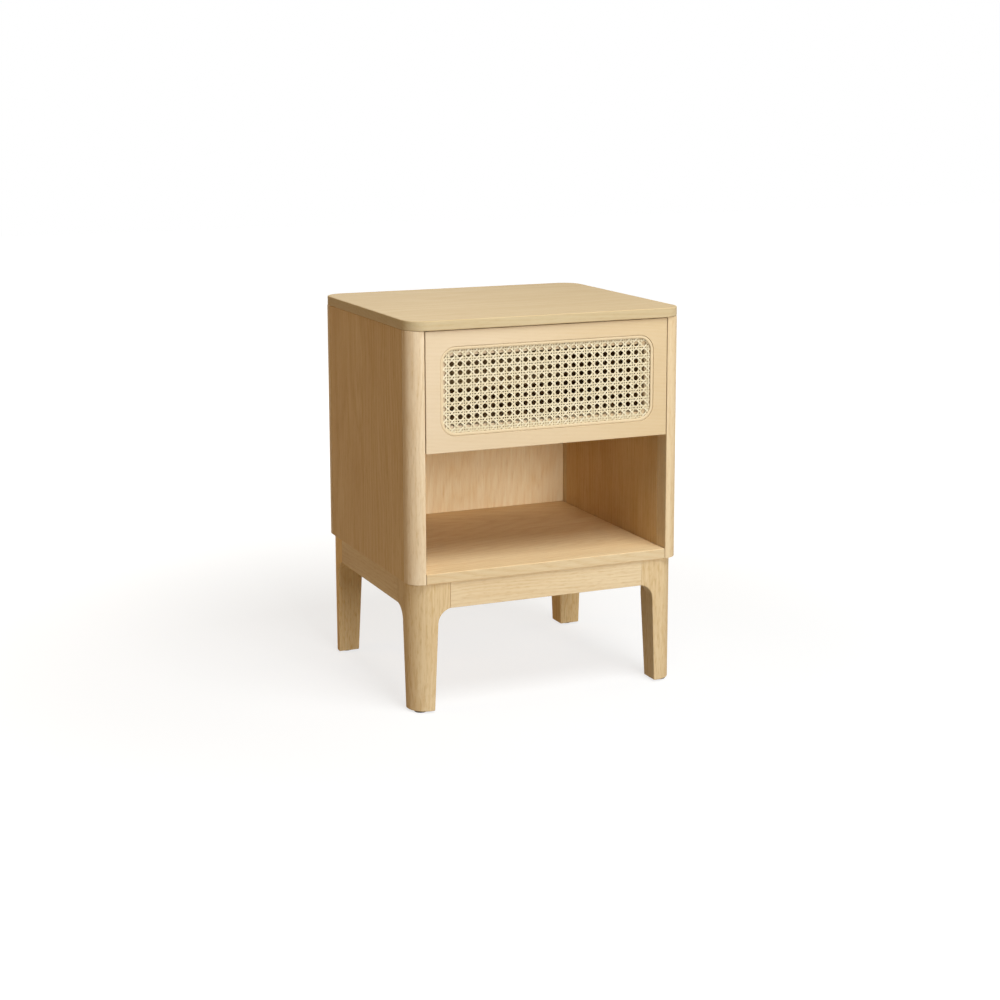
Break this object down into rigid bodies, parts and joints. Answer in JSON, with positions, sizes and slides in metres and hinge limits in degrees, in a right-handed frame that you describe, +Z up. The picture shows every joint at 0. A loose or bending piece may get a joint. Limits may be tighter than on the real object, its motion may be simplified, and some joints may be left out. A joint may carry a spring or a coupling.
{
  "type": "nightstand",
  "caption": "Small bedside cabinet in pale oak with rounded corners: a cane-panelled drawer over an open compartment, on a separate base frame with tapered legs flaring into aprons.",
  "frame": {"origin": "centre of the footprint, on the floor", "axes": "+X to the right seen from the front, +Y to the back, +Z up"},
  "size_m": [0.455, 0.4, 0.6],
  "materials": {
    "oak_veneer": "matt clear lacquer over pale oak veneer, straight grain",
    "solid_oak": "matt clear lacquer over solid pale oak, grain along each piece",
    "drawer_front_oak": "matt clear lacquer over pale oak, grain across",
    "box_wood": "plain sanded hardwood",
    "cane": "split rattan cane woven with eight-sided eyes, natural",
    "reed": "round-nosed rattan reed, natural",
    "zinc_steel": "zinc plated",
    "glide_plastic": "matt"
  },
  "bodies": {
    "carcass": {"top_panel": "oak_veneer", "left_side_panel": "oak_veneer", "right_side_panel": "oak_veneer", "bottom_panel": "oak_veneer", "divider_panel": "oak_veneer", "back_panel": "oak_veneer", "top_front_rail": "box_wood", "top_rear_rail": "box_wood", "front_apron": "solid_oak", "rear_apron": "solid_oak", "left_apron": "solid_oak", "right_apron": "solid_oak", "left_front_post": "solid_oak", "left_front_leg": "solid_oak", "left_front_corner_block": "box_wood", "left_front_base_screw": "zinc_steel", "left_front_foot_glide": "glide_plastic", "left_front_top_screw": "zinc_steel", "left_rear_post": "solid_oak", "left_rear_leg": "solid_oak", "left_rear_corner_block": "box_wood", "left_rear_base_screw": "zinc_steel", "left_rear_foot_glide": "glide_plastic", "left_rear_top_screw": "zinc_steel", "left_runner_cabinet_member": "zinc_steel", "right_front_post": "solid_oak", "right_front_leg": "solid_oak", "right_front_corner_block": "box_wood", "right_front_base_screw": "zinc_steel", "right_front_foot_glide": "glide_plastic", "right_front_top_screw": "zinc_steel", "right_rear_post": "solid_oak", "right_rear_leg": "solid_oak", "right_rear_corner_block": "box_wood", "right_rear_base_screw": "zinc_steel", "right_rear_foot_glide": "glide_plastic", "right_rear_top_screw": "zinc_steel", "right_runner_cabinet_member": "zinc_steel"},
    "drawer": {"drawer_front": "drawer_front_oak", "cane_webbing": "cane", "cane_bead": "reed", "drawer_left_side": "box_wood", "drawer_right_side": "box_wood", "drawer_back": "box_wood", "drawer_bottom": "box_wood", "left_runner_drawer_member": "zinc_steel", "right_runner_drawer_member": "zinc_steel"},
    "left_runner_middle": {"left_runner_middle_member": "zinc_steel"},
    "right_runner_middle": {"right_runner_middle_member": "zinc_steel"}
  },
  "joints": [
    {"name": "drawer_slide", "type": "slide", "parent": "carcass", "child": "drawer", "axis": [0, -1, 0], "range_m": [0, 0.3]},
    {"name": "left_runner_slide", "type": "slide", "parent": "carcass", "child": "left_runner_middle", "axis": [0, -1, 0], "range_m": [0, 0.15]},
    {"name": "right_runner_slide", "type": "slide", "parent": "carcass", "child": "right_runner_middle", "axis": [0, -1, 0], "range_m": [0, 0.15]}
  ],
  "couplings": [
    {"joint": "left_runner_slide", "follows": "drawer_slide", "ratio": 0.5},
    {"joint": "right_runner_slide", "follows": "drawer_slide", "ratio": 0.5}
  ]
}
